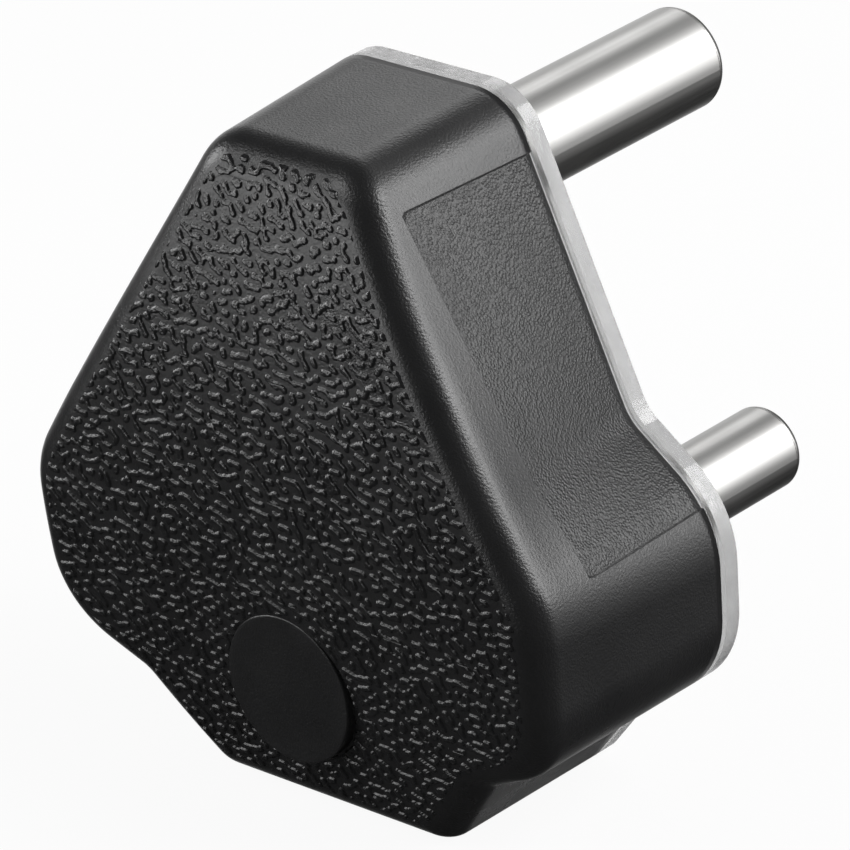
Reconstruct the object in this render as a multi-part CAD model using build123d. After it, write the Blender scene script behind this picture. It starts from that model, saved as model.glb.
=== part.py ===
from build123d import *
import os

# Rubber plug top: a three-round-pin mains plug with a moulded rubber cover on a clear base.
# X runs to the right seen from the cover's front, Y along the pins away from the cover,
# Z up towards the earth pin. The origin lies midway between the live and neutral pins,
# on the face of the base that meets the socket. All sizes are in millimetres.

# pins, after the 15/16 A three-round-pin pattern
earth_pin_r = 4.35
earth_pin_length = 28.5
power_pin_r = 3.53
power_pin_length = 21.1
power_pin_spacing = 25.4
earth_pin_height = 28.5
pin_tip_chamfer = 1.1
pin_tip_chamfer_run = 0.8
pin_collar_extra = 0.25
pin_flange_extra = 1.1
pin_flange_thickness = 1.6
earth_head_r = 4.0
power_head_r = 3.6
pin_head_length = 9.5
wire_hole_r = 1.7
wire_hole_from_end = 5.6

# terminal, clamp and cover screws
terminal_screw_r = 1.5
terminal_screw_head_r = 2.5
terminal_screw_head_height = 1.6
terminal_screw_length = 4.4
clamp_screw_r = 1.4
clamp_screw_head_r = 2.6
clamp_screw_head_height = 1.7
cover_screw_r = 1.5
cover_screw_head_r = 2.7
cover_screw_head_height = 1.8
cover_screw_sink = 0.4
cover_screw_length = 10.5
cover_insert_length = 6.0
screw_slot_width = 0.7
screw_slot_depth = 0.8
insert_wall = 1.0
thread_clearance = 0.03

# clear base
base_thickness = 2.0
base_lip = 0.45
base_lip_height = 0.5
rim_wall = 1.2
rim_height = 2.3
rim_clearance = 0.25
pin_boss_wall = 1.3
pin_boss_height = 3.4
pin_fit_clearance = 0.04
partition_thickness = 1.4
partition_height = 9.0
partition_bottom = -4.5
partition_reach = 11.0
partition_angle = 30.0
cover_screw_height = 10.5
cover_boss_wall = 1.5
cover_boss_height = 6.0

# moulded rubber cover: corner points of the half outline with the rounding at each,
# at the joint with the base and in the plane of the front
top_above_earth_pin = 9.8
top_height = earth_pin_height + top_above_earth_pin
top_draft_drop = 1.1
top_half_width = 9.0
top_half_width_front = 7.3
top_corner_r = 5.0
crease_x = 19.0
crease_z = 13.5
crease_r = 4.0
crease_x_front = 22.9
crease_z_front = 14.7
crease_r_front = 20.0
shoulder_x = 27.2
shoulder_top_z = 7.25
shoulder_top_z_front = 6.95
shoulder_low_x = 26.7
shoulder_low_x_front = 26.45
shoulder_low_z = -7.0
shoulder_r = 9.0
neck_start_x = 18.3
neck_start_x_front = 17.9
neck_start_z = -11.0
neck_start_r = 1.2
neck_start_r_front = 2.5
neck_half_width = 12.0
neck_half_width_front = 11.75
neck_bottom = -18.6
neck_corner_r = 2.8
cover_wall = 2.6
cover_depth = 23.25
wall_end_past_front = 0.75
crown_height = 4.0
crown_r_above = 115.0
crown_r_below = 72.0
front_edge_r = 2.6

# round boss on the front, side grips, cord outlet and inner posts of the cover
medallion_r = 6.3
medallion_height = -6.3
medallion_behind_crown = 0.15
grip_depth = 0.25
grip_near_base = 1.0
grip_behind_front = 7.25
grip_below_top = 4.4
grip_bottom = 7.6
grip_inner_x = 6.0
grip_corner_r = 0.6
cord_outlet_r = 4.6
cord_outlet_depth = 10.6
cord_collar_wall = 1.4
cord_collar_length = 2.6
cover_post_gap = 0.3
cover_post_r = 4.2
retainer_wall = 1.3
retainer_bore_clearance = 0.3
retainer_gap = 0.3

# cord grip at the neck
clamp_height = -8.6
clamp_half_spacing = 8.8
clamp_post_r = 3.4
clamp_post_gap = 0.3
clamp_strap_width = 5.6
clamp_strap_thickness = 1.8
clamp_arch_r = 4.2
clamp_block_gap = 1.2
clamp_insert_length = 5.0
clamp_screw_length = 6.8
clamp_hole_clearance = 0.2

os.makedirs("parts", exist_ok=True)

inner_face = -base_thickness
cut_reach = 1.5 * shoulder_x
cut_margin = 1.0
front_facing = 0.8
same_place = 0.01


def across(y):
    # the plane across the pins at y, with its own x and y along X and Z
    return Plane(origin=(0, y, 0), x_dir=(1, 0, 0), z_dir=(0, -1, 0))


def rod(x, z, radius, start, end):
    # a round bar along Y from start to end
    return Pos(x, (start + end) / 2, z) * Rot(90, 0, 0) * Cylinder(radius, abs(end - start))


def hex_bar(x, z, corner_radius, start, end):
    # a hexagonal bar along Y from start down to end
    return extrude(across(start) * Pos(x, z) * RegularPolygon(corner_radius, 6), amount=start - end)


def block(x0, x1, y0, y1, z0, z1):
    # a plain block between two corners
    return Pos((x0 + x1) / 2, (y0 + y1) / 2, (z0 + z1) / 2) * Box(x1 - x0, y1 - y0, z1 - z0)


def slotted_head(x, z, radius, start, end):
    # a cheese head along Y whose slotted face is at end
    head = rod(x, z, radius, start, end)
    into = end + screw_slot_depth if end < start else end - screw_slot_depth
    half = screw_slot_width / 2
    slot = block(x - radius, x + radius, min(end, into), max(end, into), z - half, z + half)
    return head - slot


def outline(corners, inset=0.0):
    # the closed face whose right half has these corners, each rounded by its own radius
    right = [(x, z) for x, z, r in corners]
    left = [(-x, z) for x, z, r in reversed(corners)]
    face = make_face(Polyline(*right, *left, close=True)).face()
    for x, z, r in corners:
        for side in (1, -1):
            corner = face.vertices().sort_by_distance((side * x, z, 0))[0]
            face = face.fillet_2d(r, [corner])
    if inset:
        face = offset(face, amount=-inset).face()
    return face


def joint_corners():
    # half outline of the cover and the base where they meet
    return [
        (top_half_width, top_height, top_corner_r),
        (crease_x, crease_z, crease_r),
        (shoulder_x, shoulder_top_z, shoulder_r),
        (shoulder_low_x, shoulder_low_z, shoulder_r),
        (neck_start_x, neck_start_z, neck_start_r),
        (neck_half_width, neck_bottom, neck_corner_r),
    ]


def front_corners():
    # half outline of the cover's walls carried on to the front plane, where the crease has faded
    return [
        (top_half_width_front, top_height - top_draft_drop, top_corner_r),
        (crease_x_front, crease_z_front, crease_r_front),
        (shoulder_x, shoulder_top_z_front, shoulder_r),
        (shoulder_low_x_front, shoulder_low_z, shoulder_r),
        (neck_start_x_front, neck_start_z, neck_start_r_front),
        (neck_half_width_front, neck_bottom, neck_corner_r),
    ]


def crown_y(z, inset=0.0):
    # place of the crowned front at height z
    radius = (crown_r_above if z > crown_height else crown_r_below) - inset
    return inset - cover_depth + radius - (radius**2 - (z - crown_height) ** 2) ** 0.5


def behind_crown(inset=0.0):
    # everything behind the front's two long arcs, right across the cover
    top = top_height + cut_margin
    bottom = neck_bottom - cut_margin
    heights = [top, (top + crown_height) / 2, crown_height, (crown_height + bottom) / 2, bottom]
    points = [(crown_y(z, inset), z) for z in heights]
    upper = ThreePointArc(*points[:3])
    lower = ThreePointArc(*points[2:])
    rest = Polyline(points[-1], (cut_margin, bottom), (cut_margin, top), points[0])
    profile = make_face(Curve() + [upper, lower, rest])
    return extrude(Plane.YZ.offset(-cut_reach) * profile, amount=2 * cut_reach)


def cover_form(inset=0.0, back=inner_face):
    # solid of the cover's outer form, or of its hollow when inset by the wall
    walls = loft(
        [
            across(inner_face) * outline(joint_corners(), inset),
            across(-cover_depth - wall_end_past_front) * outline(front_corners(), inset),
        ],
        ruled=True,
    )
    form = walls & behind_crown(inset)
    if back > inner_face:
        form += extrude(across(back) * outline(joint_corners(), inset), amount=back - inner_face)
    return form


def front_edges(form):
    # the loop of edges where the side walls meet the two faces of the crowned front
    facing = [f for f in form.faces() if abs(f.normal_at().Y) > front_facing]
    faces = [f for f in facing if f.center().Y < -cover_depth / 2]
    edges = [e for f in faces for e in f.edges()]
    return [e for e in edges if sum(((e @ 0.5) - (o @ 0.5)).length < same_place for o in edges) == 1]


def pin_places():
    # name, place across the pins, shank and head radius, and length of each pin
    half = power_pin_spacing / 2
    return [
        ("earth", 0.0, earth_pin_height, earth_pin_r, earth_head_r, earth_pin_length),
        ("live", half, 0.0, power_pin_r, power_head_r, power_pin_length),
        ("neutral", -half, 0.0, power_pin_r, power_head_r, power_pin_length),
    ]


flange_face = inner_face - pin_flange_thickness
head_end = flange_face - pin_head_length
wire_hole_y = head_end + wire_hole_from_end
cover_boss_end = base_thickness + cover_boss_height


def flange_corner_r(shank):
    # corner radius of a pin's hexagonal flange
    return shank + pin_flange_extra


def tip_face(body):
    return body.faces().sort_by(Axis.Y)[-1]


def rubber_cover():
    form = cover_form()
    form = form.fillet(front_edge_r, front_edges(form))
    hollow = cover_form(cover_wall, inner_face + cut_margin)
    inside = []
    # hollow posts over the pins, which hold them down, and the post of the cover screw
    for name, x, z, shank, head, length in pin_places():
        bore = terminal_screw_head_r + retainer_bore_clearance
        post = rod(x, z, bore + retainer_wall, head_end - retainer_gap, -cover_depth)
        inside.append(post - rod(x, z, bore, head_end - retainer_gap, -cover_depth))
    post_start = -cover_boss_end - cover_post_gap
    inside.append(rod(0, cover_screw_height, cover_post_r, post_start, -cover_depth))
    # collar that thickens the wall round the cord outlet
    collar = Pos(0, -cord_outlet_depth, neck_bottom + cover_wall) * Cylinder(
        cord_outlet_r + cord_collar_wall, cord_collar_length, align=(Align.CENTER, Align.CENTER, Align.MIN)
    )
    inside.append(collar)
    cover = form - hollow
    for piece in inside:
        cover += piece & hollow
    medallion_face = medallion_behind_crown - cover_depth
    cover += rod(0, medallion_height, medallion_r, medallion_face, cover_wall - cover_depth) - hollow
    # cord outlet, seat of the threaded insert and room for the cover screw's end
    outlet_length = cover_wall + cord_collar_length + 2 * cut_margin
    cover -= Pos(0, -cord_outlet_depth, neck_bottom - cut_margin) * Cylinder(
        cord_outlet_r, outlet_length, align=(Align.CENTER, Align.CENTER, Align.MIN)
    )
    insert_r = cover_screw_r + insert_wall
    cover -= rod(0, cover_screw_height, insert_r, post_start, post_start - cover_insert_length)
    # sunk grip panels on both sides
    skin = cover_form(grip_depth)
    for side in (1, -1):
        near, far = sorted((side * grip_inner_x, side * cut_reach))
        grip_front = grip_behind_front - cover_depth
        grip_top = top_height - grip_below_top
        region = block(near, far, grip_front, inner_face - grip_near_base, grip_bottom, grip_top)
        region = fillet(region.edges().filter_by(Axis.X), grip_corner_r)
        cover -= region - skin
    return cover


def base_plate():
    full = extrude(across(0) * outline(joint_corners()), amount=base_thickness - base_lip_height)
    lip = extrude(
        across(base_lip_height - base_thickness) * outline(joint_corners(), base_lip), amount=base_lip_height
    )
    base = full + lip
    # rim that stands inside the cover's wall
    rim_inset = cover_wall + rim_clearance
    rim = outline(joint_corners(), rim_inset) - outline(joint_corners(), rim_inset + rim_wall)
    base += extrude(across(inner_face) * rim, amount=rim_height)
    # bosses round the pins, with hexagonal seats that stop the pins turning
    for name, x, z, shank, head, length in pin_places():
        base += rod(x, z, flange_corner_r(shank) + pin_boss_wall, inner_face, inner_face - pin_boss_height)
    # post of the cover screw and the barriers that keep the three wires apart
    base += rod(0, cover_screw_height, cover_screw_head_r + cover_boss_wall, inner_face, -cover_boss_end)
    half = partition_thickness / 2
    barrier_end = inner_face - partition_height
    barrier_top = cover_screw_height - cover_screw_head_r
    base += block(-half, half, barrier_end, inner_face, partition_bottom, barrier_top)
    arm = block(cover_screw_head_r, partition_reach, barrier_end, inner_face, -half, half)
    for angle in (partition_angle, 180 - partition_angle):
        base += Pos(0, 0, cover_screw_height) * Rot(0, -angle, 0) * arm
    post_room = cover_post_r + cover_post_gap
    base -= rod(0, cover_screw_height, post_room, -cover_boss_end, barrier_end - cut_margin)
    # cord rest between the two posts of the cord grip
    post_end = -cord_outlet_depth
    rest_half = clamp_half_spacing - clamp_post_r / 2
    rest_low = clamp_height - clamp_strap_width / 2
    rest_high = clamp_height + clamp_strap_width / 2
    rest = block(-rest_half, rest_half, post_end + clamp_block_gap, inner_face, rest_low, rest_high)
    for side in (1, -1):
        rest += rod(side * clamp_half_spacing, clamp_height, clamp_post_r, inner_face, post_end)
    rest -= Pos(0, post_end, clamp_height) * Cylinder(clamp_arch_r, clamp_strap_width + 2 * cut_margin)
    base += rest
    for side in (1, -1):
        seat_r = clamp_screw_r + insert_wall
        base -= rod(side * clamp_half_spacing, clamp_height, seat_r, post_end, post_end + clamp_insert_length)
    for name, x, z, shank, head, length in pin_places():
        base -= rod(x, z, shank + pin_collar_extra + pin_fit_clearance, cut_margin, inner_face)
        seat = flange_corner_r(shank) + pin_fit_clearance
        base -= hex_bar(x, z, seat, inner_face, inner_face - pin_boss_height - cut_margin)
    screw_hole_r = cover_screw_r + thread_clearance
    base -= rod(0, cover_screw_height, screw_hole_r, cut_margin, -cover_boss_end - cut_margin)
    head_seat = cover_screw_head_r + pin_fit_clearance
    base -= rod(0, cover_screw_height, head_seat, cut_margin, -cover_screw_sink - cover_screw_head_height)
    return base


def pin(x, z, shank, head, length):
    body = rod(x, z, shank, flange_face, length)
    tip = body.edges().filter_by(GeomType.CIRCLE).sort_by(Axis.Y)[-1]
    body = chamfer(tip, length=pin_tip_chamfer, length2=pin_tip_chamfer_run, reference=tip_face(body))
    body += rod(x, z, shank + pin_collar_extra, 0, inner_face)
    body += hex_bar(x, z, flange_corner_r(shank), inner_face, flange_face)
    body += rod(x, z, head, flange_face, head_end)
    body -= Pos(x, wire_hole_y, z) * Cylinder(wire_hole_r, 2 * head + 2 * cut_margin)
    body -= rod(x, z, terminal_screw_r + thread_clearance, head_end, wire_hole_y)
    return body


def terminal_screw(x, z):
    shank = rod(x, z, terminal_screw_r, head_end, head_end + terminal_screw_length)
    return shank + slotted_head(x, z, terminal_screw_head_r, head_end, head_end - terminal_screw_head_height)


def cord_clamp():
    foot = -cord_outlet_depth - clamp_post_gap
    ears = block(
        -clamp_half_spacing - clamp_post_r,
        clamp_half_spacing + clamp_post_r,
        foot - clamp_strap_thickness,
        foot,
        clamp_height - clamp_strap_width / 2,
        clamp_height + clamp_strap_width / 2,
    )
    centre = Pos(0, -cord_outlet_depth, clamp_height)
    arch = centre * Cylinder(clamp_arch_r + clamp_strap_thickness, clamp_strap_width)
    arch &= block(-cut_reach, cut_reach, -cut_reach, foot, -cut_reach, cut_reach)
    clamp = ears + arch - centre * Cylinder(clamp_arch_r, clamp_strap_width + 2 * cut_margin)
    for side in (1, -1):
        hole_r = clamp_screw_r + clamp_hole_clearance
        clamp -= rod(side * clamp_half_spacing, clamp_height, hole_r, foot + cut_margin, foot - cut_reach / 2)
    return clamp


def clamp_screw(side):
    x = side * clamp_half_spacing
    seat = -cord_outlet_depth - clamp_post_gap - clamp_strap_thickness
    shank = rod(x, clamp_height, clamp_screw_r, seat, seat + clamp_screw_length)
    return shank + slotted_head(x, clamp_height, clamp_screw_head_r, seat, seat - clamp_screw_head_height)


def threaded_insert(x, z, screw_r, start, end):
    return rod(x, z, screw_r + insert_wall, start, end) - rod(x, z, screw_r + thread_clearance, start, end)


def cover_screw():
    seat = -cover_screw_sink - cover_screw_head_height
    shank = rod(0, cover_screw_height, cover_screw_r, seat, seat - cover_screw_length)
    return shank + slotted_head(0, cover_screw_height, cover_screw_head_r, seat, -cover_screw_sink)


def keep(shape, node):
    export_step(shape, "parts/" + node + ".step")


keep(rubber_cover(), "rubber_cover")
keep(base_plate(), "base_plate")
for name, x, z, shank, head, length in pin_places():
    keep(pin(x, z, shank, head, length), name + "_pin")
    keep(terminal_screw(x, z), name + "_terminal_screw")
keep(cord_clamp(), "cord_clamp")
for side, name in ((1, "right"), (-1, "left")):
    keep(clamp_screw(side), "clamp_screw_" + name)
    insert = threaded_insert(
        side * clamp_half_spacing,
        clamp_height,
        clamp_screw_r,
        -cord_outlet_depth,
        clamp_insert_length - cord_outlet_depth,
    )
    keep(insert, "clamp_insert_" + name)
keep(cover_screw(), "cover_screw")
post_start = -cover_boss_end - cover_post_gap
insert_end = post_start - cover_insert_length
cover_insert = threaded_insert(0, cover_screw_height, cover_screw_r, post_start, insert_end)
keep(cover_insert, "cover_insert")
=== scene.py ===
import math
import bmesh
import bpy
import numpy as np
from mathutils import Matrix, Vector


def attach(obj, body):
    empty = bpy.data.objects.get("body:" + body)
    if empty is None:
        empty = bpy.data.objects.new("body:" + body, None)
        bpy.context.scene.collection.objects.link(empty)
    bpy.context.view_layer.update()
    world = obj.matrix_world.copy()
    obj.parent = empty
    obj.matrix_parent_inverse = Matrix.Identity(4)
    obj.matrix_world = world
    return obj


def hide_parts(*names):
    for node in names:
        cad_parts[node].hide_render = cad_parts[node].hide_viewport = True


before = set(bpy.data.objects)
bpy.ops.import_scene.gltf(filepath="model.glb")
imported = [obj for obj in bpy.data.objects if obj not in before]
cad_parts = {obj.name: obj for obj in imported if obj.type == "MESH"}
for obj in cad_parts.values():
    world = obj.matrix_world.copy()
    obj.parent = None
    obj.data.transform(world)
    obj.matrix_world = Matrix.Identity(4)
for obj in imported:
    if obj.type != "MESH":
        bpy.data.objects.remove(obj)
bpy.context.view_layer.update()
print("frame loaded:", len(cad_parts), "nodes")

mm = 0.001
rng = np.random.default_rng(7)

# cover form

cover = {
    # corners of the right half, from the top: x, z, radius
    "joint": [(9.0, 38.3, 5.0), (19.0, 13.5, 4.0), (27.2, 7.25, 9.0),
              (26.7, -7.0, 9.0), (18.3, -11.0, 1.2), (12.0, -18.6, 2.8)],
    "front": [(7.3, 37.2, 5.0), (22.9, 14.7, 20.0), (27.2, 6.95, 9.0),
              (26.45, -7.0, 9.0), (17.9, -11.0, 2.5), (11.75, -18.6, 2.8)],
    "jointY": -2.0,
    "rimY": -2.03,
    "frontY": -24.0,
    "crownY": -23.25,
    "crownZ": 4.0,
    "crownRadii": (115.0, 72.0),
    "edgeRadius": 2.6,
    "wall": 2.6,
    "gripZ": (7.6, 33.9),
    "gripY": (-16.0, -1.0),
    "gripDepth": 0.25,
    "gripCorner": 0.6,
    "gripStep": 0.12,
    "gripFade": 0.3,       # width over which the stipple fades at the panel's edge
    "gripLine": 0.07,      # width of the dull line along that edge
    "gripFrom": 8.0,       # the panels lie only where the wall is this far out
    "side": (36.5, 4.0, 6.0),      # the wall's long side: below, above and outside these
    "stations": (34, 86, 130),     # grid lines above the side, along it and below
    "rows": 18,
    "turnGuess": -20.0,
    "edgeRows": 15,
    "crownRings": 21,
    "crownMiddle": (-9.0, 28.0),
    "hollowRows": (-8.0, -14.0, -19.2),
    "hollowMiddle": (-6.0, 26.0),
}


def roundedHalf(corners, arcSteps=48, lineSteps=40):
    # right half of an outline from the top centre to the bottom centre: straight runs joined by arcs,
    # each arc tangent to both runs, with the same number of points for each run and arc
    pts = np.array([(0, corners[0][1], 0)] + list(corners) + [(0, corners[-1][1], 0)], float)
    out = []
    start = pts[0, :2]
    for before, at, after in zip(pts[:-2], pts[1:-1], pts[2:]):
        a = (at - before)[:2] / np.linalg.norm((at - before)[:2])
        b = (after - at)[:2] / np.linalg.norm((after - at)[:2])
        turn = math.acos(float(np.clip(a @ b, -1, 1)))
        reach = at[2] * math.tan(turn / 2)
        arcStart, arcEnd = at[:2] - a * reach, at[:2] + b * reach
        side = np.sign(a[0] * b[1] - a[1] * b[0])
        centre = arcStart + side * at[2] * np.array([-a[1], a[0]])
        k = np.linspace(0, 1, lineSteps, endpoint=False)[:, None]
        out.append(start + (arcStart - start) * k)
        ang = side * turn * np.linspace(0, 1, arcSteps, endpoint=False)
        d = arcStart - centre
        c, t = np.cos(ang), np.sin(ang)
        out.append(centre + np.stack([d[0] * c - d[1] * t, d[0] * t + d[1] * c], 1))
        start = arcEnd
    k = np.linspace(0, 1, lineSteps)[:, None]
    out.append(start + (pts[-1, :2] - start) * k)
    return np.concatenate(out)


jointHalf = roundedHalf(cover["joint"])
frontHalf = roundedHalf(cover["front"])


def crownAt(z):
    # the crowned front: two long arcs that meet at crownZ
    radius = np.where(z > cover["crownZ"], *cover["crownRadii"])
    return cover["crownY"] + radius - np.sqrt(radius**2 - (z - cover["crownZ"]) ** 2)


def stationLevels():
    # heights of the grid lines down the side, close together beside the grip panel's two ends
    near = np.array([-0.9, -0.6, -0.3, -0.1, -0.06, 0.06, 0.1, 0.3, 0.6, 0.9])
    low, high = cover["gripZ"]
    middle = np.linspace(high - 1.3, low + 1.3, cover["stations"][1])
    return np.concatenate([high - near, middle, low - near])


def wallRow(y):
    # half outline of the wall at depth y, a straight blend of the joint and front outlines,
    # resampled: by share of its length above and below the side, by height along the side
    t = (y - cover["jointY"]) / (cover["frontY"] - cover["jointY"])
    half = jointHalf + (frontHalf - jointHalf) * t
    levels = stationLevels()
    index = np.arange(len(half))
    below, over, outside = cover["side"]
    side = (half[:, 1] < below) & (half[:, 1] > over) & (half[:, 0] > outside)
    at = np.interp(-levels, -half[side, 1], index[side])
    upper = np.linspace(0, 1, cover["stations"][0], endpoint=False) * at[0]
    lower = at[-1] + np.linspace(0, 1, cover["stations"][2])[1:] * (len(half) - 1 - at[-1])
    stations = np.concatenate([upper, at, lower])
    return np.stack([np.interp(stations, index, half[:, 0]), np.interp(stations, index, half[:, 1])], 1)


def wholeLoop(half):
    # the half outline and its mirror image as one closed loop
    mirrored = half[::-1] * [-1, 1]
    return np.concatenate([half, mirrored[1:-1]])


def outward(loop):
    # unit normals of a clockwise closed loop: each neighbouring piece counts by the other's length
    after = np.roll(loop, -1, 0) - loop
    before = loop - np.roll(loop, 1, 0)
    la, lb = (np.linalg.norm(v, axis=1)[:, None] for v in (after, before))
    d = after / la * lb + before / lb * la
    n = np.stack([-d[:, 1], d[:, 0]], 1)
    return n / np.linalg.norm(n, axis=1)[:, None]


depths = np.linspace(cover["jointY"], cover["frontY"], 89)
wallLoops = np.array([wholeLoop(wallRow(y)) for y in depths])


def wallAt(y):
    # wall points at a depth of their own for each station, read between the two nearest loops
    y = np.broadcast_to(y, wallLoops.shape[1])
    u = (depths[0] - y) / (depths[0] - depths[1])
    i = np.clip(np.floor(u).astype(int), 0, len(depths) - 2)
    k = np.arange(len(y))
    f = (u - i)[:, None]
    return wallLoops[i, k] * (1 - f) + wallLoops[i + 1, k] * f


def panelDepth(y, z):
    # sink of the grip panel: full inside a rectangle with rounded corners, none outside,
    # eased over a narrow step; with it the stipple's share and the distance to the edge
    (z0, z1), (y0, y1), r = cover["gripZ"], cover["gripY"], cover["gripCorner"]
    dy = np.abs(y - (y0 + y1) / 2) - (y1 - y0) / 2 + r
    dz = np.abs(z - (z0 + z1) / 2) - (z1 - z0) / 2 + r
    distance = np.hypot(np.maximum(dy, 0), np.maximum(dz, 0)) + np.minimum(np.maximum(dy, dz), 0) - r
    s = np.clip(0.5 - distance / cover["gripStep"], 0, 1)
    share = np.clip(0.5 - distance / cover["gripFade"], 0, 1)
    return cover["gripDepth"] * s * s * (3 - 2 * s), share, distance


def coverSurface():
    # outer skin: wall rows, then the rounded edge as a quarter turn inward from the last wall row,
    # then rings that shrink to the middle line of the crown; with it each point's panel share
    # and its share in the line along the panel's edge. The turn starts where the crown says, and
    # where that is depends on the wall there, so it is found in a few rounds
    rows, panel, groove = [], [], []
    radius = cover["edgeRadius"]
    startY = np.full(wallLoops.shape[1], cover["turnGuess"])
    for _ in range(4):
        start = wallAt(startY)
        n = outward(start)
        startY = crownAt(start[:, 1]) + radius
    y0 = cover["gripY"][0]
    near = np.array([-0.5, -0.25, -0.1, -0.06, 0.06, 0.1, 0.25, 0.5])
    ys = np.concatenate([np.linspace(cover["rimY"], y0 + 1.1, cover["rows"]), y0 - near])
    ys = np.sort(ys)[::-1]
    for k, y in enumerate(ys):
        # near the front the rows bunch up behind the start of the rounded edge
        level = np.maximum(y, startY + 0.02 * (len(ys) - k + 2))
        loop = wallAt(level)
        sink, share, distance = panelDepth(level, loop[:, 1])
        onSide = np.abs(loop[:, 0]) > cover["gripFrom"]
        sink, share = np.where(onSide, sink, 0), np.where(onSide, share, 0)
        moved = loop - outward(loop) * sink[:, None]
        rows.append(np.stack([moved[:, 0], level, moved[:, 1]], 1))
        panel.append(share)
        groove.append(np.where(onSide, np.exp(-(distance / cover["gripLine"]) ** 2), 0))
    lastLevel = level
    for k in (0.3, 0.65):
        level = lastLevel + (startY - lastLevel) * k
        p = wallAt(level)
        rows.append(np.stack([p[:, 0], level, p[:, 1]], 1))
    for a in np.linspace(0, math.pi / 2, cover["edgeRows"]):
        p = start - n * radius * (1 - math.cos(a))
        rows.append(np.stack([p[:, 0], crownAt(p[:, 1]) + radius * (1 - math.sin(a)), p[:, 1]], 1))
    inner = start - n * radius
    centre = np.stack([inner[:, 0] * 0, np.clip(inner[:, 1], *cover["crownMiddle"])], 1)
    for k in np.linspace(0, 1, cover["crownRings"] + 2)[1:-1]:
        p = inner + (centre - inner) * k
        rows.append(np.stack([p[:, 0], crownAt(p[:, 1]), p[:, 1]], 1))
    blank = np.zeros(len(start))
    extra = len(rows) - len(panel)
    return np.array(rows), np.array(panel + [blank] * extra), np.array(groove + [blank] * extra)


def innerSurface():
    # hollow of the cover: the outline pulled in by the wall, up to the crown pulled in by the wall
    w = cover["wall"]
    rows = []
    for y in (cover["rimY"],) + cover["hollowRows"]:
        loop = wallAt(y)
        p = loop - outward(loop) * w
        rows.append(np.stack([p[:, 0], np.full(len(p), y), p[:, 1]], 1))
    last = rows[-1][:, [0, 2]]
    rows.append(np.stack([last[:, 0], crownAt(last[:, 1]) + w, last[:, 1]], 1))
    centre = np.stack([last[:, 0] * 0, np.clip(last[:, 1], *cover["hollowMiddle"])], 1)
    for k in np.linspace(0, 1, 6)[1:-1]:
        p = last + (centre - last) * k
        rows.append(np.stack([p[:, 0], crownAt(p[:, 1]) + w, p[:, 1]], 1))
    return np.array(rows)


def gridFaces(rows, cols, first=0, closed=True, flip=False):
    # quads between neighbouring rows of a grid, whose columns run round a closed loop
    i = np.arange(rows - 1)[:, None]
    j = np.arange(cols if closed else cols - 1)[None, :]
    k = (j + 1) % cols
    corners = np.broadcast_arrays(i * cols + j, i * cols + k, (i + 1) * cols + k, (i + 1) * cols + j)
    quads = np.stack(corners, -1).reshape(-1, 4) + first
    return quads[:, ::-1] if flip else quads


def makeMesh(name, points, faceLists, smooth=True, attributes=None):
    # a mesh from points in mm and lists of faces, quads as arrays or longer faces as lists
    mesh = bpy.data.meshes.new(name)
    faces = [f for part in faceLists for f in (part.tolist() if isinstance(part, np.ndarray) else part)]
    mesh.from_pydata((np.asarray(points) * mm).tolist(), [], faces)
    mesh.validate()
    mesh.polygons.foreach_set("use_smooth", np.full(len(mesh.polygons), smooth))
    for key, values in (attributes or {}).items():
        layer = mesh.attributes.new(key, "FLOAT", "POINT")
        layer.data.foreach_set("value", np.asarray(values, np.float32))
    obj = bpy.data.objects.new(name, mesh)
    bpy.context.scene.collection.objects.link(obj)
    return obj


def middleFaces(ring, start, flip=False):
    # closes the last ring of a loop onto its own mirror image, strip by strip across the middle line.
    # The level runs at its top and bottom belong whole to the first and the last strip
    cols = len(ring)
    half = (cols + 2) // 2
    right = (np.arange(half) + start).tolist()
    left = [start] + (start + cols - 1 - np.arange(half - 2)).tolist() + [start + half - 1]
    level = ring[:half, 2]
    top = int((level > level[0] - 1e-6).sum())
    low = half - 1 - int((level < level[-1] + 1e-6).sum())
    faces = [right[: top + 1] + left[top:0:-1]]
    faces += [[right[i], right[i + 1], left[i + 1], left[i]] for i in range(top, low)]
    faces += [right[low:] + left[-2:low - 1:-1]]
    return [f[::-1] if flip else f for f in faces]


outer, panelShare, grooveShare = coverSurface()
inner = innerSurface()
nRows, nCols = outer.shape[:2]
innerStart = nRows * nCols
points = np.concatenate([outer.reshape(-1, 3), inner.reshape(-1, 3)])
rim = gridFaces(2, nCols)
rim = np.where(rim >= nCols, rim - nCols + innerStart, rim)
faces = [
    gridFaces(nRows, nCols, flip=True),
    middleFaces(outer[-1], (nRows - 1) * nCols, flip=True),
    gridFaces(len(inner), nCols, innerStart),
    middleFaces(inner[-1], innerStart + (len(inner) - 1) * nCols),
    rim,
]
zeros = np.zeros(len(inner) * nCols)
coverShell = makeMesh("coverShell", points, faces, attributes={
    "gripShare": np.concatenate([panelShare.ravel(), zeros]),
    "gripEdge": np.concatenate([grooveShare.ravel(), zeros]),
})
print("cover shell:", len(coverShell.data.polygons), "faces")


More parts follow.
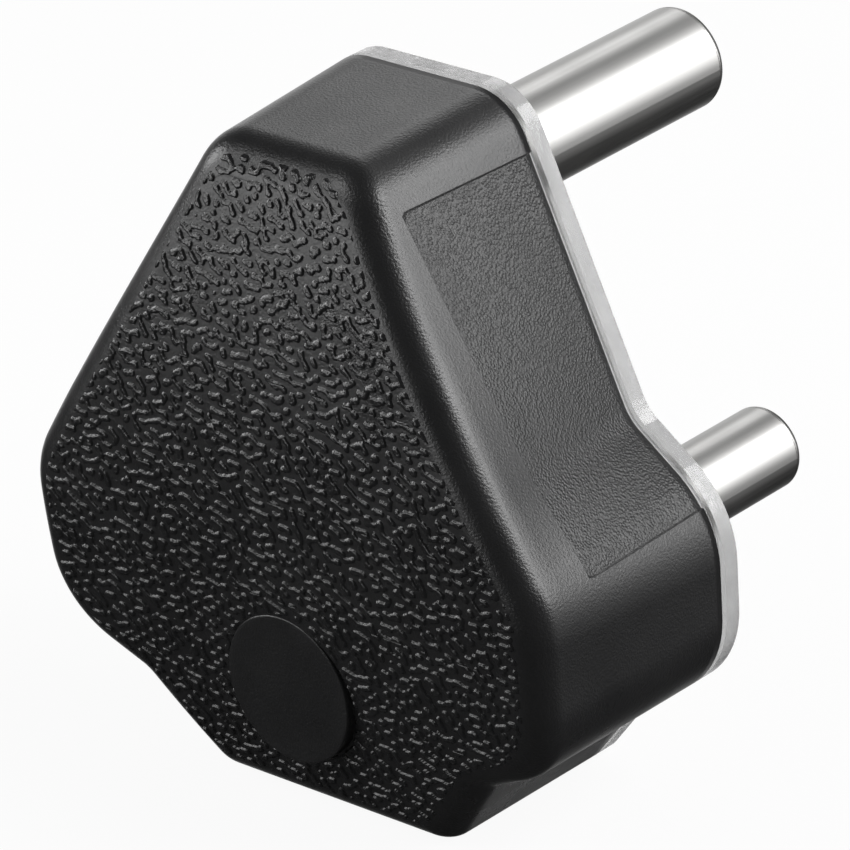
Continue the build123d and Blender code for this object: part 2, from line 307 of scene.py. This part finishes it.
def turned(name, centre, radii, levels, axis=1, steps=160, smooth=True):
    # a solid turned round an axis along Y (1) or Z (2): one ring of points for each radius and level.
    # Flat faces close both ends, unless the last ring is the first one again
    ang = np.linspace(0, 2 * math.pi, steps, endpoint=False)
    rings = np.empty((len(radii), steps, 3))
    rings[..., 0] = centre[0] + np.outer(radii, np.cos(ang))
    rings[..., 3 - axis] = centre[1] + np.outer(radii, np.sin(ang))
    rings[..., axis] = np.asarray(levels)[:, None]
    last = (len(radii) - 1) * steps
    caps = [list(range(steps))[::-1], list(range(last, last + steps))]
    meets = radii[0] == radii[-1] and levels[0] == levels[-1]
    quads = gridFaces(len(radii), steps)
    return makeMesh(name, rings.reshape(-1, 3), [quads] if meets else [quads, caps], smooth)


def ringRows(outerR, innerR, start, end):
    # radii and levels of a plain ring, back to where they began
    return [outerR, outerR, innerR, innerR, outerR], [start, end, end, start, start]


# grain on the front: separate raised pebbles, laid out in the plane of the front in mm
grain = {
    "along": 1.28,         # spacing of the pebbles along their lean
    "across": 0.82,        # and square to it
    "lean": -16.0,         # degrees from level, down to the right
    "turn": 40.0,          # each pebble turns by up to this much more or less
    "jitter": 0.36,
    "halfLength": (0.0, 0.52),
    "halfWidth": 0.27,
    "bend": 0.08,
    "bendWaves": (2.4, 0.5),
    "evenSpacing": 0.87,   # width and gap of the pebbles are evened out to this spacing
    "evenShift": 0.18,
    "squash": (6, 2),
    "level": -0.15,        # lower makes every pebble wider
    "edge": 0.55,          # share of a pebble's rise that is rounded
    "height": 0.16,
    "lumps": 0.007,
    "lumpWaves": (0.38, 0.35),
    "sunk": 0.04,
    "pitch": 0.1,
    "spread": 0.55,
    "reach": (0.5, 1.5, 0.6),      # past the inner end of the rounded edge: sides, top, neck
    "topCorner": (6.4, 0.8),       # the further reach at the top ends at this half width, over this
    "topFrom": (34.2, 1.0),        # and starts at this height, over this
    "neckFrom": (-7.5, 2.0),
    "slabReach": 1.9,
    "slabThick": 0.55,
    "turnShare": 0.97,             # the slab follows the rounded edge this far
    "band": (5.0, 31.0, -12.0),    # the ring is looked for only this near the side, above, below
    "margin": 0.25,
    "clearOfDisc": (0.08, 0.2),
}
fieldPitch = 0.08
fieldSize = 900
frequency = np.fft.fftfreq(fieldSize, fieldPitch)
waveCount = np.hypot(*np.meshgrid(frequency, frequency))


def keepWaves(field, spacing, spread):
    # keeps the waves of a field that are about one spacing long, by a ring in the frequency plane
    ring = np.exp(-((waveCount * spacing - 1) / spread) ** 2)
    kept = np.real(np.fft.ifft2(np.fft.fft2(field) * ring))
    return kept / kept.std()


def seededNoise(spacing, spread):
    return keepWaves(rng.standard_normal((fieldSize, fieldSize)), spacing, spread)


def sampleField(field, x, z, centre=(0.0, 9.0)):
    # smooth reading of a field between its points, by weights in both directions
    u = (x - centre[0]) / fieldPitch + fieldSize / 2
    v = (z - centre[1]) / fieldPitch + fieldSize / 2
    i, j = np.floor(u).astype(int), np.floor(v).astype(int)
    a, b = u - i, v - j
    i0, j0, i1, j1 = (k % fieldSize for k in (i, j, i + 1, j + 1))
    near = field[j0, i0] * (1 - a) + field[j0, i1] * a
    far = field[j1, i0] * (1 - a) + field[j1, i1] * a
    return near * (1 - b) + far * b


def barField():
    # depth inside the nearest of many short bars, which lie on a staggered, shaken lattice turned by
    # the lean: half width less the distance to the bar
    line = (np.arange(fieldSize) - fieldSize / 2) * fieldPitch
    x, z = np.meshgrid(line, line)
    x = x + grain["bend"] * seededNoise(*grain["bendWaves"])
    z = z + grain["bend"] * seededNoise(*grain["bendWaves"])
    a = math.radians(grain["lean"])
    u = (x * math.cos(a) + z * math.sin(a)) / grain["along"]
    v = (-x * math.sin(a) + z * math.cos(a)) / grain["across"]
    i0, j0 = np.floor(u).astype(int), np.floor(v).astype(int)
    period = 96
    dice = rng.random((period, period, 4))
    nearest = np.full(x.shape, np.inf)
    for di in (-1, 0, 1):
        for dj in (-1, 0, 1):
            i, j = i0 + di, j0 + dj
            shakeU, shakeV, turn, size = np.moveaxis(dice[i % period, j % period], -1, 0)
            du = (u - i - 0.25 - 0.5 * (j % 2) - grain["jitter"] * (2 * shakeU - 1)) * grain["along"]
            dv = (v - j - 0.5 - grain["jitter"] * (2 * shakeV - 1)) * grain["across"]
            turn = math.radians(grain["turn"]) * (2 * turn - 1)
            short, long = grain["halfLength"]
            half = short + (long - short) * size
            c, t = np.cos(turn), np.sin(turn)
            on = np.clip(du * c + dv * t, -half, half)
            nearest = np.minimum(nearest, np.hypot(du - on * c, dv - on * t))
    return grain["halfWidth"] - nearest


def pebbleField():
    # the bars evened out: twice the waves of one spacing are kept and squashed, so that every pebble
    # gets about one width and one gap, whatever the bars did
    waves = grain["evenSpacing"], grain["spread"]
    hard, soft = grain["squash"]
    first = keepWaves(np.tanh(hard * barField()), *waves)
    second = keepWaves(np.tanh(soft * (first - grain["evenShift"])), *waves)
    return (first + second) / 2 - grain["evenShift"] - grain["level"]


pebbles = pebbleField()
lumps = seededNoise(*grain["lumpWaves"])

medallion = {"radius": 6.3, "z": -6.3, "faceY": -23.18, "edge": 0.12, "backY": -20.9}

# inner end of the rounded edge
edgeRing = outer[-1 - cover["crownRings"]][:, [0, 2]]


def ringDistance(x, z):
    # distance of each point past the inner end of the rounded edge, less than nought inside it,
    # and the direction away from it: the nearest point on each straight piece of the ring is tried
    px, pz = x.ravel()[:, None], z.ravel()[:, None]
    ax, az = edgeRing.T
    bx, bz = np.roll(ax, -1), np.roll(az, -1)
    dx, dz = bx - ax, bz - az
    t = np.clip(((px - ax) * dx + (pz - az) * dz) / (dx * dx + dz * dz), 0, 1)
    gx, gz = px - ax - t * dx, pz - az - t * dz
    reach = np.hypot(gx, gz)
    k = reach.argmin(1)
    row = np.arange(len(k))
    crossed = ((az > pz) != (bz > pz)) & (px < dx * (pz - az) / (dz + 1e-12) + ax)
    inside = crossed.sum(1) % 2 == 1
    d = reach[row, k]
    away = np.stack([gx[row, k], gz[row, k]], 1) / (d[:, None] + 1e-9)
    shape = x.shape
    return np.where(inside, -d, d).reshape(shape), away.reshape(shape + (2,))


def slabOutline():
    # half widths and heights of the slab's own outline: the ring moved outwards a little
    wide = edgeRing + outward(edgeRing) * grain["slabReach"]
    right = wide[: (nCols + 2) // 2]
    right = right[np.argsort(right[:, 1], kind="stable")]
    return right[:, 1], np.maximum(right[:, 0], 2.0)


def borderReach(x, z):
    # how far past the ring the grain goes: a little at the sides, further at the top and round the neck
    side, top, neck = grain["reach"]
    (corner, cornerOver), (topFrom, topOver), (neckFrom, neckOver) = (
        grain[key] for key in ("topCorner", "topFrom", "neckFrom"))
    up = np.clip((z - topFrom) / topOver, 0, 1) * np.clip((corner - np.abs(x)) / cornerOver, 0, 1)
    down = np.clip((neckFrom - z) / neckOver, 0, 1)
    return side + (top - side) * up * up * (3 - 2 * up) + (neck - side) * down * down * (3 - 2 * down)


def grainSlab(name, zTop, zBottom):
    # a thin closed slab over part of the front. Its face is the front's skin, a little sunk,
    # raised inside the pebbles by a quarter round at their edge: only they stand out of the cover.
    # Past the ring the skin turns back by the rounded edge, and the rise follows its normal
    rows = int((zTop - zBottom) / grain["pitch"]) + 1
    z = np.linspace(zTop, zBottom, rows)
    heights, widths = slabOutline()
    w = np.interp(z, heights, widths)
    cols = int(2 * w.max() / grain["pitch"]) + 1
    x = np.linspace(-1, 1, cols)[None, :] * w[:, None]
    zz = np.broadcast_to(z[:, None], x.shape).copy()
    band, above, below = grain["band"]
    past, away = np.full(x.shape, -band), np.zeros(x.shape + (2,))
    close = (np.abs(x) > w[:, None] - band) | (zz > above) | (zz < below)
    past[close], away[close] = ringDistance(x[close], zz[close])
    r = cover["edgeRadius"]
    over = np.clip(past, 0, r * grain["turnShare"])
    skinY = crownAt(zz) + r - np.sqrt(r * r - over * over)
    inside = sampleField(pebbles, x, zz)
    rise = np.sqrt(1 - (1 - np.clip(inside / grain["edge"], 0, 1)) ** 2)
    bump = grain["lumps"] * sampleField(lumps, x, zz)
    fade = np.clip((borderReach(x, zz) - past) / grain["margin"], 0, 1)
    fromDisc = np.hypot(x, zz - medallion["z"]) - medallion["radius"]
    gap, ease = grain["clearOfDisc"]
    fade = fade * np.clip((fromDisc - gap) / ease, 0, 1)
    rise = rise * fade
    height = rise * (grain["height"] + bump) - grain["sunk"] * (1 - rise)
    lean = over / r
    flat = np.sqrt(1 - lean * lean)

    def lifted(h):
        return np.stack([x + away[..., 0] * lean * h, skinY - flat * h, zz + away[..., 1] * lean * h], -1)

    top, low = lifted(height), lifted(-grain["slabThick"] + 0 * height)
    n = rows * cols
    pts = np.concatenate([top.reshape(-1, 3), low[0], low[-1], low[1:-1, 0], low[1:-1, -1]])
    f0, l0, a0, b0 = n, n + cols, n + 2 * cols, n + 2 * cols + rows - 2
    leftIndex = np.concatenate([[f0], np.arange(a0, b0), [l0]])
    rightIndex = np.concatenate([[f0 + cols - 1], np.arange(b0, b0 + rows - 2), [l0 + cols - 1]])
    i, j = np.arange(rows - 1), np.arange(cols - 1)
    sides = [
        np.stack([leftIndex[:-1], leftIndex[1:], (i + 1) * cols, i * cols], 1),
        np.stack([(i + 1) * cols + cols - 1, rightIndex[1:], rightIndex[:-1], i * cols + cols - 1], 1),
        np.stack([j + 1, f0 + j + 1, f0 + j, j], 1),
        np.stack([l0 + j, l0 + j + 1, (rows - 1) * cols + j + 1, (rows - 1) * cols + j], 1),
        np.stack([rightIndex[1:-2], rightIndex[2:-1], leftIndex[2:-1], leftIndex[1:-2]], 1),
        [[int(rightIndex[1]), int(leftIndex[1])] + (f0 + np.arange(cols)).tolist()],
        [[int(leftIndex[-2]), int(rightIndex[-2])] + (l0 + np.arange(cols))[::-1].tolist()],
    ]
    return makeMesh(name, pts, [gridFaces(rows, cols, closed=False)] + sides)


slabPast = grain["slabReach"] - 0.05
ends = edgeRing[:, 1].max() + slabPast, edgeRing[:, 1].min() - slabPast
grainPieces = [
    grainSlab("grainTop", ends[0], 20.0),
    grainSlab("grainUpper", 20.0, 10.0),
    grainSlab("grainMiddle", 10.0, 1.5),
    grainSlab("grainLower", 1.5, -7.0),
    grainSlab("grainNeck", -7.0, ends[1]),
]
print("grain:", [len(p.data.polygons) for p in grainPieces], "faces")


def discMesh(name, settings):
    # a disc along Y with a rounded front edge: rings from the middle of the face over the edge to the back
    r, e = settings["radius"], settings["edge"]
    a = np.linspace(0, math.pi / 2, 6)
    radii = np.concatenate([[r * 0.3, r * 0.7, r - e * 3], r - e + e * np.sin(a), [r]])
    face, back = settings["faceY"], settings["backY"]
    ys = np.concatenate([[face] * 3, face + e - e * np.cos(a), [back]])
    return turned(name, (0, settings["z"]), radii, ys)


medallionDisc = discMesh("medallionDisc", medallion)

# cord outlet at the flat end of the neck: a hole through the wall and a collar round it inside
outlet = {
    "y": -10.6,
    "bore": 4.6,
    "collar": 6.0,
    "wallIn": -16.0,
    "collarEnd": -13.4,
    "cut": (-19.6, -15.5),   # from below the neck's end to past the wall
}
outletCollar = turned(
    "outletCollar", (0, outlet["y"]),
    *ringRows(outlet["collar"], outlet["bore"], outlet["wallIn"], outlet["collarEnd"]),
    axis=2, steps=72, smooth=False)
outletCutter = turned(
    "outletCutter", (0, outlet["y"]), [outlet["bore"]] * 2, outlet["cut"],
    axis=2, steps=72, smooth=False)

# inner posts of the cover, seen through the clear base
posts = {
    # name: x, z, outer radius, inner radius, start, end
    "earthPost": (0, 28.5, 4.1, 2.8, -13.4, -18.9),
    "livePost": (12.7, 0, 4.1, 2.8, -13.4, -20.6),
    "neutralPost": (-12.7, 0, 4.1, 2.8, -13.4, -20.6),
    "screwPost": (0, 10.5, 4.2, 2.5, -8.3, -20.8),
}
postPieces = [
    turned(name, (x, z), *ringRows(*sizes), steps=48, smooth=False)
    for name, (x, z, *sizes) in posts.items()
]

# rounded tips over the pins' chamfers: a quarter of an ellipse turned round each pin's axis,
# a hair behind the pin's flat end
pinTips = {
    "across": 0.72,
    "along": 0.8,
    "behind": 0.02,
    # name: x, z, the pin's radius and end
    "pins": {"earthTip": (0, 28.5, 4.35, 28.5), "liveTip": (12.7, 0, 3.53, 21.1),
             "neutralTip": (-12.7, 0, 3.53, 21.1)},
}


def tipMesh(name, x, z, radius, end):
    # rings from a disc behind the rounding over it to the flat end
    a = np.linspace(0, math.pi / 2, 12)
    narrow = radius - pinTips["across"]
    radii = np.concatenate([[narrow], narrow + pinTips["across"] * np.cos(a)])
    ys = end - pinTips["behind"] - pinTips["along"] * np.concatenate([[1], 1 - np.sin(a)])
    return turned(name, (x, z), radii, ys, steps=96)


tipPieces = [tipMesh(name, *place) for name, place in pinTips["pins"].items()]


def recalc(obj):
    # joins the points that meet and points the faces of a closed mesh outwards
    b = bmesh.new()
    b.from_mesh(obj.data)
    bmesh.ops.remove_doubles(b, verts=b.verts, dist=1e-7)
    bmesh.ops.recalc_face_normals(b, faces=b.faces)
    b.to_mesh(obj.data)
    b.free()


for obj in [coverShell, medallionDisc, outletCollar, outletCutter] + grainPieces + postPieces + tipPieces:
    recalc(obj)


def cutOutlet():
    # takes the outlet's round hole out of the cover's neck, and drops the cutter
    cut = coverShell.modifiers.new("outlet", "BOOLEAN")
    cut.operation, cut.solver, cut.object = "DIFFERENCE", "EXACT", outletCutter
    result = coverShell.evaluated_get(bpy.context.evaluated_depsgraph_get())
    mesh = bpy.data.meshes.new_from_object(result)
    coverShell.modifiers.clear()
    coverShell.data = mesh
    bpy.data.objects.remove(outletCutter)


cutOutlet()
print("cord outlet cut:", len(coverShell.data.polygons), "faces")

# materials


def newMaterial(name):
    # an empty node material with its shader and the object's own coordinates
    mat = bpy.data.materials.new(name)
    mat.use_nodes = True
    tree = mat.node_tree
    shader = next(n for n in tree.nodes if n.type == "BSDF_PRINCIPLED")
    coords = tree.nodes.new("ShaderNodeTexCoord")
    return mat, tree, shader, coords.outputs["Object"]


def addNode(tree, kind, inputs=None, **props):
    # a node with its properties set and its inputs linked or filled
    node = tree.nodes.new(kind)
    for key, value in props.items():
        setattr(node, key, value)
    for key, value in (inputs or {}).items():
        if isinstance(value, bpy.types.NodeSocket):
            tree.links.new(value, node.inputs[key])
        else:
            node.inputs[key].default_value = value
    return node


# nearly all of a noise node's values lie between these
noiseRange = 0.3, 0.7


def noise(tree, coords, scale, detail=2.0):
    node = addNode(tree, "ShaderNodeTexNoise", {"Vector": coords, "Scale": scale, "Detail": detail})
    return node.outputs["Fac"]


def ramp(tree, value, low, high, toLow, toHigh):
    limits = {"From Min": low, "From Max": high, "To Min": toLow, "To Max": toHigh}
    return addNode(tree, "ShaderNodeMapRange", {"Value": value, **limits}).outputs["Result"]


def mixColour(tree, share, a, b):
    # sockets 6 and 7 are the two colours, and 2 is the mixed one
    return addNode(tree, "ShaderNodeMix", {0: share, 6: a, 7: b}, data_type="RGBA").outputs[2]


def maths(tree, operation, a, b):
    return addNode(tree, "ShaderNodeMath", {0: a, 1: b}, operation=operation).outputs[0]


def bumped(tree, shader, height):
    # a height in metres that moves the shading only
    bump = addNode(tree, "ShaderNodeBump", {"Height": height, "Distance": 1.0})
    tree.links.new(bump.outputs["Normal"], shader.inputs["Normal"])


rubber = {
    "colour": (0.0075, 0.0075, 0.0078, 1),
    "worn": (0.012, 0.012, 0.0123, 1),
    "mottleScale": 160.0,
    "specular": 0.4,
    "rough": (0.26, 0.34),
    "grainRough": (0.17, 0.24),
    "gripRough": 0.10,
    "edgeRough": 0.2,
    "fineScale": 5200.0,
    "fineHeight": 0.000034,
    "stippleScale": 4300.0,
    "stipple": 0.00004,
}


def rubberMaterial(name, share=None, rough=rubber["rough"]):
    # black moulded rubber: soft mottling, a very fine matt grain, stipple where share is high,
    # and a duller line along the panel's edge
    mat, tree, shader, coords = newMaterial(name)
    mottle = noise(tree, coords, rubber["mottleScale"], 3.0)
    fine = noise(tree, coords, rubber["fineScale"], 2.0)
    shader.inputs["Specular IOR Level"].default_value = rubber["specular"]
    tree.links.new(mixColour(tree, mottle, rubber["colour"], rubber["worn"]), shader.inputs["Base Color"])
    roughness = ramp(tree, mottle, *noiseRange, *rough)
    height = maths(tree, "MULTIPLY", fine, rubber["fineHeight"])
    if share:
        attribute = addNode(tree, "ShaderNodeAttribute", attribute_name=share).outputs["Fac"]
        cells = addNode(tree, "ShaderNodeTexVoronoi", {"Vector": coords, "Scale": rubber["stippleScale"]})
        domes = ramp(tree, cells.outputs["Distance"], 0.1, 0.7, rubber["stipple"], 0)
        height = maths(tree, "ADD", height, maths(tree, "MULTIPLY", domes, attribute))
        edge = addNode(tree, "ShaderNodeAttribute", attribute_name="gripEdge").outputs["Fac"]
        inPanel = maths(tree, "MULTIPLY", attribute, rubber["gripRough"])
        atEdge = maths(tree, "MULTIPLY", edge, rubber["edgeRough"])
        roughness = maths(tree, "ADD", roughness, maths(tree, "ADD", inPanel, atEdge))
    tree.links.new(roughness, shader.inputs["Roughness"])
    bumped(tree, shader, height)
    return mat


coverRubber = rubberMaterial("coverRubber", "gripShare")
grainRubber = rubberMaterial("grainRubber", rough=rubber["grainRough"])
medallionRubber = rubberMaterial("medallionRubber")

pin = {"colour": (0.39, 0.387, 0.38, 1), "rough": (0.3, 0.4), "endRough": 0.4, "lineHeight": 0.0000012}
screw = {"colour": (0.5, 0.5, 0.5, 1), "rough": (0.25, 0.4), "endRough": 0.2, "lineHeight": 0.000001}
insert = {"colour": (0.72, 0.5, 0.2, 1), "rough": (0.25, 0.4), "endRough": 0.2, "lineHeight": 0.000001}
# what the three metals share
turning = {
    "cloudScale": 120.0,
    "clouded": 0.94,
    "lineScale": (5200.0, 40.0, 5200.0),
    "endFrom": (0.6, 0.95),
}


def metalMaterial(name, settings):
    # drawn and plated metal: bright, with faint lines along the pin and soft clouding.
    # The ends are turned and duller
    mat, tree, shader, coords = newMaterial(name)
    shader.inputs["Metallic"].default_value = 1.0
    cloud = noise(tree, coords, turning["cloudScale"], 3.0)
    stretched = addNode(tree, "ShaderNodeMapping", {"Vector": coords, "Scale": turning["lineScale"]})
    lines = noise(tree, stretched.outputs["Vector"], 1.0)
    clouded = tuple(c * turning["clouded"] for c in settings["colour"][:3]) + (1,)
    tree.links.new(mixColour(tree, cloud, settings["colour"], clouded), shader.inputs["Base Color"])
    mottle = maths(tree, "ADD", maths(tree, "MULTIPLY", cloud, 0.5), maths(tree, "MULTIPLY", lines, 0.5))
    facing = addNode(tree, "ShaderNodeNewGeometry").outputs["Normal"]
    along = addNode(tree, "ShaderNodeSeparateXYZ", {"Vector": facing}).outputs["Y"]
    ends = ramp(tree, along, *turning["endFrom"], 0, settings["endRough"])
    roughness = maths(tree, "ADD", ramp(tree, mottle, *noiseRange, *settings["rough"]), ends)
    tree.links.new(roughness, shader.inputs["Roughness"])
    bumped(tree, shader, maths(tree, "MULTIPLY", lines, settings["lineHeight"]))
    return mat


nickel = metalMaterial("nickelPlate", pin)
screwSteel = metalMaterial("screwSteel", screw)
insertBrass = metalMaterial("insertBrass", insert)

clear = {
    "colour": (0.84, 0.84, 0.84, 1),
    "cloudy": (0.52, 0.52, 0.52, 1),
    "cloudScale": 700.0,
    "rough": (0.08, 0.26),
    "bends": 1.5,
    "flowScale": 260.0,
    "wave": 0.00006,
    "through": 0.76,
    "face": (-0.00196, -0.0017),   # depth over which the frosted face beside the cover clears
    "faceThrough": 0.1,
}


def clearMaterial():
    # clear moulded plastic: see-through, with faint flow marks and a slightly cloudy gloss.
    # The face beside the cover is frosted
    mat, tree, shader, coords = newMaterial("clearPlastic")
    shader.inputs["IOR"].default_value = clear["bends"]
    depth = addNode(tree, "ShaderNodeSeparateXYZ", {"Vector": coords}).outputs["Y"]
    frosted = ramp(tree, depth, *clear["face"], clear["faceThrough"], clear["through"])
    tree.links.new(frosted, shader.inputs["Transmission Weight"])
    flow = noise(tree, coords, clear["flowScale"], 3.0)
    cloud = noise(tree, coords, clear["cloudScale"], 3.0)
    tree.links.new(mixColour(tree, cloud, clear["colour"], clear["cloudy"]), shader.inputs["Base Color"])
    tree.links.new(ramp(tree, cloud, *noiseRange, *clear["rough"]), shader.inputs["Roughness"])
    bumped(tree, shader, maths(tree, "MULTIPLY", flow, clear["wave"]))
    return mat


nylon = {
    "dark": (0.02, 0.02, 0.021, 1),
    "pale": (0.035, 0.035, 0.036, 1),
    "scale": 1800.0,
    "rough": (0.4, 0.6),
    "height": 0.00001,
}


def nylonMaterial():
    # black nylon of the cord clamp: satin, with a fine spark-eroded texture
    mat, tree, shader, coords = newMaterial("clampNylon")
    fine = noise(tree, coords, nylon["scale"])
    tree.links.new(mixColour(tree, fine, nylon["dark"], nylon["pale"]), shader.inputs["Base Color"])
    tree.links.new(ramp(tree, fine, *noiseRange, *nylon["rough"]), shader.inputs["Roughness"])
    bumped(tree, shader, maths(tree, "MULTIPLY", fine, nylon["height"]))
    return mat


clearPlastic = clearMaterial()
clampNylon = nylonMaterial()
nodeMaterials = {
    "base_plate": (clearPlastic, "clear_base"),
    "earth_pin": (nickel, "nickel"), "live_pin": (nickel, "nickel"), "neutral_pin": (nickel, "nickel"),
    "earth_terminal_screw": (screwSteel, "screw_steel"), "live_terminal_screw": (screwSteel, "screw_steel"),
    "neutral_terminal_screw": (screwSteel, "screw_steel"), "cord_clamp": (clampNylon, "clamp_plastic"),
    "clamp_screw_left": (screwSteel, "screw_steel"), "clamp_screw_right": (screwSteel, "screw_steel"),
    "clamp_insert_left": (insertBrass, "insert_brass"), "clamp_insert_right": (insertBrass, "insert_brass"),
    "cover_screw": (screwSteel, "screw_steel"), "cover_insert": (insertBrass, "insert_brass"),
}
for node, (material, slot) in nodeMaterials.items():
    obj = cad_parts[node]
    obj.data.materials.clear()
    obj.data.materials.append(material)
coverPieces = [
    ([coverShell], coverRubber), (grainPieces, grainRubber),
    ([medallionDisc, outletCollar] + postPieces, medallionRubber),
]
for pieces, material in coverPieces:
    for obj in pieces:
        obj.data.materials.append(material)
        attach(obj, "root")
        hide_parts("rubber_cover")
for obj in tipPieces:
    obj.data.materials.append(nickel)
    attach(obj, "root")
print("materials set")

# stage, light and camera

stage = {
    "floorZ": -18.6,
    "half": 1500.0,        # from the floor's middle to its edges
    "pale": (0.58, 0.58, 0.58, 1),
    "paler": (0.62, 0.62, 0.62, 1),
    "mottleScale": 30.0,
    "rough": 0.9,
    "glow": 0.93,          # share of plain white in what the camera sees of the floor
}
floorCorners = np.array([(-1, -1, 0), (1, -1, 0), (1, 1, 0), (-1, 1, 0)]) * stage["half"]
floorCorners[:, 2] = stage["floorZ"]
floor = makeMesh("floor", floorCorners, [[[0, 1, 2, 3]]], smooth=False)


def floorMaterial():
    # pale floor that shows white to the camera and to glass and keeps a light shadow. In the object's
    # gloss it isn't there, so that the studio's directions alone make the reflections
    mat, tree, shader, coords = newMaterial("paleFloor")
    shader.inputs["Roughness"].default_value = stage["rough"]
    shader.inputs["Specular IOR Level"].default_value = 0.0
    mottle = noise(tree, coords, stage["mottleScale"])
    tree.links.new(mixColour(tree, mottle, stage["pale"], stage["paler"]), shader.inputs["Base Color"])
    out = next(n for n in tree.nodes if n.type == "OUTPUT_MATERIAL")
    light = addNode(tree, "ShaderNodeLightPath")
    seen = maths(tree, "MAXIMUM", light.outputs["Is Camera Ray"], light.outputs["Is Transmission Ray"])
    glow = addNode(tree, "ShaderNodeEmission", {"Color": (1, 1, 1, 1), "Strength": 1.0})
    lit = addNode(tree, "ShaderNodeMixShader", {
        0: maths(tree, "MULTIPLY", seen, stage["glow"]), 1: shader.outputs[0], 2: glow.outputs[0]})
    clearAway = addNode(tree, "ShaderNodeBsdfTransparent")
    mix = addNode(tree, "ShaderNodeMixShader", {
        0: light.outputs["Is Glossy Ray"], 1: lit.outputs[0], 2: clearAway.outputs[0]})
    tree.links.new(mix.outputs[0], out.inputs["Surface"])
    return mat


floor.data.materials.append(floorMaterial())

# each pair is a direction's share along an axis, from where the studio's tone starts to where it ends
studio = {
    "dark": 0.03,
    "white": 1.0,
    "turn": (0.15, 0.55),
    "gap": (0.72, 0.86),
    "top": (0.1, 0.42),
    "above": 0.5,
    "right": (-0.08, 0.14),
    "horizon": (-0.56, -0.14),
    "left": (-0.35, -0.1),
    "lowest": (-0.72, -0.52),
    "diffuse": 0.25,
}


def studioWorld():
    # white for the camera and for glass. For gloss, a white wall behind the object with a dark gap
    # straight behind it. The wall is dimmer high on the left and dark low on the right, and all
    # else is dark
    world = bpy.data.worlds.new("studio")
    world.use_nodes = True
    tree = world.node_tree
    background = next(n for n in tree.nodes if n.type == "BACKGROUND")
    light = addNode(tree, "ShaderNodeLightPath")
    direction = addNode(tree, "ShaderNodeTexCoord").outputs["Generated"]
    axes = addNode(tree, "ShaderNodeSeparateXYZ", {"Vector": direction}).outputs
    turn = ramp(tree, axes["Y"], *studio["turn"], 0, 1)
    wall = maths(tree, "MULTIPLY", turn, ramp(tree, axes["Y"], *studio["gap"], 1, 0))
    above = ramp(tree, axes["Z"], *studio["top"], 1, studio["above"])
    upRight = ramp(tree, axes["X"], *studio["right"], 0, 1)
    height = maths(tree, "MULTIPLY", wall, maths(tree, "MAXIMUM", above, upRight))
    level = ramp(tree, axes["Z"], *studio["horizon"], 0, 1)
    lowLeft = ramp(tree, axes["Z"], *studio["lowest"], 0, 1)
    left = maths(tree, "MULTIPLY", ramp(tree, axes["X"], *studio["left"], 1, 0), lowLeft)
    white = maths(tree, "MULTIPLY", height, maths(tree, "MAXIMUM", level, left))
    behind = ramp(tree, white, 0, 1, studio["dark"], studio["white"])
    base = maths(tree, "MULTIPLY", behind, light.outputs["Is Glossy Ray"])
    soft = maths(tree, "MULTIPLY", light.outputs["Is Diffuse Ray"], studio["diffuse"])
    seen = maths(tree, "MAXIMUM", light.outputs["Is Camera Ray"], light.outputs["Is Transmission Ray"])
    strength = maths(tree, "MAXIMUM", seen, maths(tree, "MAXIMUM", base, soft))
    background.inputs["Color"].default_value = (1, 1, 1, 1)
    tree.links.new(strength, background.inputs["Strength"])
    bpy.context.scene.world = world


studioWorld()

softboxes = {
    "target": (0, -10, 8),
    "distance": 700,
    "size": 300,
    # name: azimuth round the object from its front, elevation, watts
    "lamps": {
        "rightHigh": (108, 42, 3.4),
        "right": (121, 19, 2.0),
        "backHigh": (144, 32, 1.4),
        "backLow": (144, 2, 0.5),
        "leftBack": (216, 36, 0.45),
        "left": (288, 18, 1.7),
        "frontLeft": (314, 6, 1.1),
        "frontHigh": (324, 42, 1.4),
        "front": (338, 8, 0.9),
    },
}


def softbox(name, azimuth, elevation, power):
    # a round soft lamp that stands off the object in a direction and faces it
    a, e = math.radians(azimuth), math.radians(elevation)
    d = Vector((math.sin(a) * math.cos(e), -math.cos(a) * math.cos(e), math.sin(e)))
    data = bpy.data.lights.new(name, "AREA")
    data.shape = "DISK"
    data.size = softboxes["size"] * mm
    data.energy = power
    lamp = bpy.data.objects.new(name, data)
    lamp.location = (Vector(softboxes["target"]) + d * softboxes["distance"]) * mm
    lamp.rotation_mode = "QUATERNION"
    lamp.rotation_quaternion = d.to_track_quat("Z", "Y")
    lamp.visible_camera = False
    bpy.context.scene.collection.objects.link(lamp)


for name, (azimuth, elevation, power) in softboxes["lamps"].items():
    softbox(name, azimuth, elevation, power)

camera = {
    "lens": 291.24,
    "sensor": 36.0,
    "location": (340.1, -354.8, 242.0),
    "azimuth": 44.222,
    "elevation": 25.48,
    "roll": 5.149,
    "shift": (0.00138, -0.00444),
}
az, el, roll = (math.radians(camera[k]) for k in ("azimuth", "elevation", "roll"))
back = np.array([math.sin(az) * math.cos(el), -math.cos(az) * math.cos(el), math.sin(el)])
right = np.array([math.cos(az), math.sin(az), 0.0])
up = np.cross(back, right)
camX = math.cos(roll) * right - math.sin(roll) * up
camY = math.sin(roll) * right + math.cos(roll) * up
camData = bpy.data.cameras.new("camera")
camData.lens = camera["lens"]
camData.sensor_width = camera["sensor"]
camData.shift_x, camData.shift_y = camera["shift"]
camData.clip_start, camData.clip_end = 0.01, 10.0
cam = bpy.data.objects.new("camera", camData)
bpy.context.scene.collection.objects.link(cam)
m = np.eye(4)
m[:3, 0], m[:3, 1], m[:3, 2] = camX, camY, back
m[:3, 3] = np.array(camera["location"]) * mm
cam.matrix_world = Matrix(m.tolist())
bpy.context.scene.camera = cam
bpy.context.scene.view_settings.view_transform = "Standard"
print("stage, light and camera set")
